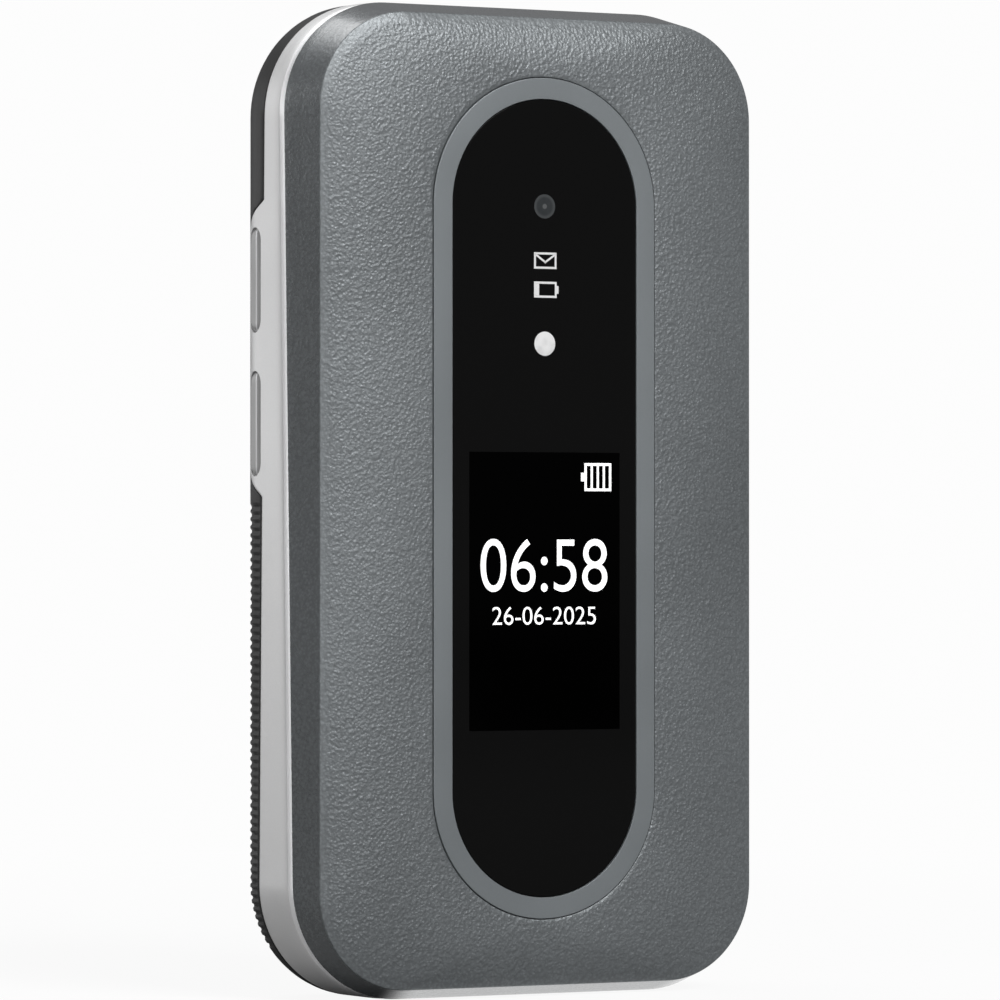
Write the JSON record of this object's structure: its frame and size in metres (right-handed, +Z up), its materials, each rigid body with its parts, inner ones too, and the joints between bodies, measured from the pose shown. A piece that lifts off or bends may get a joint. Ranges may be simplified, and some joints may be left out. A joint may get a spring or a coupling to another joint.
{
  "type": "feature phone",
  "caption": "Closed clamshell feature phone with a long round-ended front window, silver side frame, side keys and an opening lid over a keypad.",
  "frame": {"origin": "middle of the footprint, on the surface that the phone's free end stands on", "axes": "+Z up along the phone's length to the hinge, -Y out of the lid's front, +X to the right as seen from the front"},
  "size_m": [0.0584, 0.0196, 0.1108],
  "materials": {
    "silver_plastic": "satin silver paint on plastic",
    "dark_plastic": "fine matt dark grey plastic",
    "lid_paint": "grey metallic paint over a fine leather grain",
    "ring_paint": "smooth grey metallic paint",
    "black_glass": "black printed window glass",
    "deck_plastic": "smooth grey plastic",
    "key_plastic": "satin light grey key caps",
    "black_plastic": "black moulded plastic",
    "board": "green circuit board",
    "dome_film": "clear film over metal domes",
    "battery_case": "foil case",
    "plated_steel": "plated steel",
    "display_panel": "display panel",
    "lens_glass": "coated lens",
    "light_guide": "milky light guide",
    "soft_rubber": "soft black rubber"
  },
  "bodies": {
    "base": {"base_frame": "silver_plastic", "back_cover": "dark_plastic", "inner_chassis": "black_plastic", "keypad_deck": "deck_plastic", "main_board": "board", "key_dome_sheet": "dome_film", "side_switches": "plated_steel", "battery": "battery_case", "battery_contacts": "black_plastic", "usb_socket": "plated_steel", "audio_jack": "black_plastic", "loudspeaker": "black_plastic", "microphone": "plated_steel", "vibration_motor": "plated_steel", "sim_holder": "plated_steel", "shield_can": "plated_steel", "base_screws": "plated_steel", "hinge_cartridge": "plated_steel", "hinge_pin": "plated_steel"},
    "lid": {"lid_shell": "lid_paint", "bezel_ring": "ring_paint", "front_glass": "black_glass", "outer_display": "display_panel", "camera_module": "black_plastic", "camera_lens": "lens_glass", "flash_led": "light_guide", "lid_inner_cover": "deck_plastic", "inner_display_glass": "black_glass", "inner_display": "display_panel", "lid_board": "board", "earpiece": "plated_steel", "lid_bumpers": "soft_rubber", "lid_screws": "plated_steel", "closing_magnet": "plated_steel"},
    "call_key": {"call_key": "key_plastic"},
    "clear_key": {"clear_key": "key_plastic"},
    "end_key": {"end_key": "key_plastic"},
    "key_1": {"key_1": "key_plastic"},
    "key_2": {"key_2": "key_plastic"},
    "key_3": {"key_3": "key_plastic"},
    "key_4": {"key_4": "key_plastic"},
    "key_5": {"key_5": "key_plastic"},
    "key_6": {"key_6": "key_plastic"},
    "key_7": {"key_7": "key_plastic"},
    "key_8": {"key_8": "key_plastic"},
    "key_9": {"key_9": "key_plastic"},
    "key_star": {"key_star": "key_plastic"},
    "key_0": {"key_0": "key_plastic"},
    "key_hash": {"key_hash": "key_plastic"},
    "left_soft_key": {"left_soft_key": "key_plastic"},
    "right_soft_key": {"right_soft_key": "key_plastic"},
    "mail_key": {"mail_key": "key_plastic"},
    "menu_key": {"menu_key": "key_plastic"},
    "ok_key": {"ok_key": "key_plastic"},
    "nav_ring": {"nav_ring": "key_plastic"},
    "upper_side_key": {"upper_side_key": "silver_plastic"},
    "lower_side_key": {"lower_side_key": "silver_plastic"}
  },
  "joints": [
    {"name": "lid_hinge", "type": "hinge", "parent": "base", "child": "lid", "pos_m": [0, 0.00315, 0.10756], "axis": [-1, 0, 0], "range_deg": [0, 150]},
    {"name": "call_key_press", "type": "slide", "parent": "base", "child": "call_key", "axis": [0, 0.9997, -0.0239], "range_m": [0, 0.0004], "stiffness_N_per_m": 150, "springref_m": -0.001},
    {"name": "clear_key_press", "type": "slide", "parent": "base", "child": "clear_key", "axis": [0, 0.9997, -0.0239], "range_m": [0, 0.0004], "stiffness_N_per_m": 150, "springref_m": -0.001},
    {"name": "end_key_press", "type": "slide", "parent": "base", "child": "end_key", "axis": [0, 0.9997, -0.0239], "range_m": [0, 0.0004], "stiffness_N_per_m": 150, "springref_m": -0.001},
    {"name": "key_1_press", "type": "slide", "parent": "base", "child": "key_1", "axis": [0, 0.9997, -0.0239], "range_m": [0, 0.0004], "stiffness_N_per_m": 150, "springref_m": -0.001},
    {"name": "key_2_press", "type": "slide", "parent": "base", "child": "key_2", "axis": [0, 0.9997, -0.0239], "range_m": [0, 0.0004], "stiffness_N_per_m": 150, "springref_m": -0.001},
    {"name": "key_3_press", "type": "slide", "parent": "base", "child": "key_3", "axis": [0, 0.9997, -0.0239], "range_m": [0, 0.0004], "stiffness_N_per_m": 150, "springref_m": -0.001},
    {"name": "key_4_press", "type": "slide", "parent": "base", "child": "key_4", "axis": [0, 0.9997, -0.0239], "range_m": [0, 0.0004], "stiffness_N_per_m": 150, "springref_m": -0.001},
    {"name": "key_5_press", "type": "slide", "parent": "base", "child": "key_5", "axis": [0, 0.9997, -0.0239], "range_m": [0, 0.0004], "stiffness_N_per_m": 150, "springref_m": -0.001},
    {"name": "key_6_press", "type": "slide", "parent": "base", "child": "key_6", "axis": [0, 0.9997, -0.0239], "range_m": [0, 0.0004], "stiffness_N_per_m": 150, "springref_m": -0.001},
    {"name": "key_7_press", "type": "slide", "parent": "base", "child": "key_7", "axis": [0, 0.9997, -0.0239], "range_m": [0, 0.0004], "stiffness_N_per_m": 150, "springref_m": -0.001},
    {"name": "key_8_press", "type": "slide", "parent": "base", "child": "key_8", "axis": [0, 0.9997, -0.0239], "range_m": [0, 0.0004], "stiffness_N_per_m": 150, "springref_m": -0.001},
    {"name": "key_9_press", "type": "slide", "parent": "base", "child": "key_9", "axis": [0, 0.9997, -0.0239], "range_m": [0, 0.0004], "stiffness_N_per_m": 150, "springref_m": -0.001},
    {"name": "key_star_press", "type": "slide", "parent": "base", "child": "key_star", "axis": [0, 0.9997, -0.0239], "range_m": [0, 0.0004], "stiffness_N_per_m": 150, "springref_m": -0.001},
    {"name": "key_0_press", "type": "slide", "parent": "base", "child": "key_0", "axis": [0, 0.9997, -0.0239], "range_m": [0, 0.0004], "stiffness_N_per_m": 150, "springref_m": -0.001},
    {"name": "key_hash_press", "type": "slide", "parent": "base", "child": "key_hash", "axis": [0, 0.9997, -0.0239], "range_m": [0, 0.0004], "stiffness_N_per_m": 150, "springref_m": -0.001},
    {"name": "left_soft_key_press", "type": "slide", "parent": "base", "child": "left_soft_key", "axis": [0, 0.9997, -0.0239], "range_m": [0, 0.0004], "stiffness_N_per_m": 150, "springref_m": -0.001},
    {"name": "right_soft_key_press", "type": "slide", "parent": "base", "child": "right_soft_key", "axis": [0, 0.9997, -0.0239], "range_m": [0, 0.0004], "stiffness_N_per_m": 150, "springref_m": -0.001},
    {"name": "mail_key_press", "type": "slide", "parent": "base", "child": "mail_key", "axis": [0, 0.9997, -0.0239], "range_m": [0, 0.0004], "stiffness_N_per_m": 150, "springref_m": -0.001},
    {"name": "menu_key_press", "type": "slide", "parent": "base", "child": "menu_key", "axis": [0, 0.9997, -0.0239], "range_m": [0, 0.0004], "stiffness_N_per_m": 150, "springref_m": -0.001},
    {"name": "ok_key_press", "type": "slide", "parent": "base", "child": "ok_key", "axis": [0, 0.9997, -0.0239], "range_m": [0, 0.0004], "stiffness_N_per_m": 150, "springref_m": -0.001},
    {"name": "nav_ring_press", "type": "slide", "parent": "base", "child": "nav_ring", "axis": [0, 0.9997, -0.0239], "range_m": [0, 0.0004], "stiffness_N_per_m": 150, "springref_m": -0.001},
    {"name": "upper_side_key_press", "type": "slide", "parent": "base", "child": "upper_side_key", "axis": [1, 0, 0], "range_m": [0, 0.0004], "stiffness_N_per_m": 150, "springref_m": -0.001},
    {"name": "lower_side_key_press", "type": "slide", "parent": "base", "child": "lower_side_key", "axis": [1, 0, 0], "range_m": [0, 0.0004], "stiffness_N_per_m": 150, "springref_m": -0.001}
  ]
}
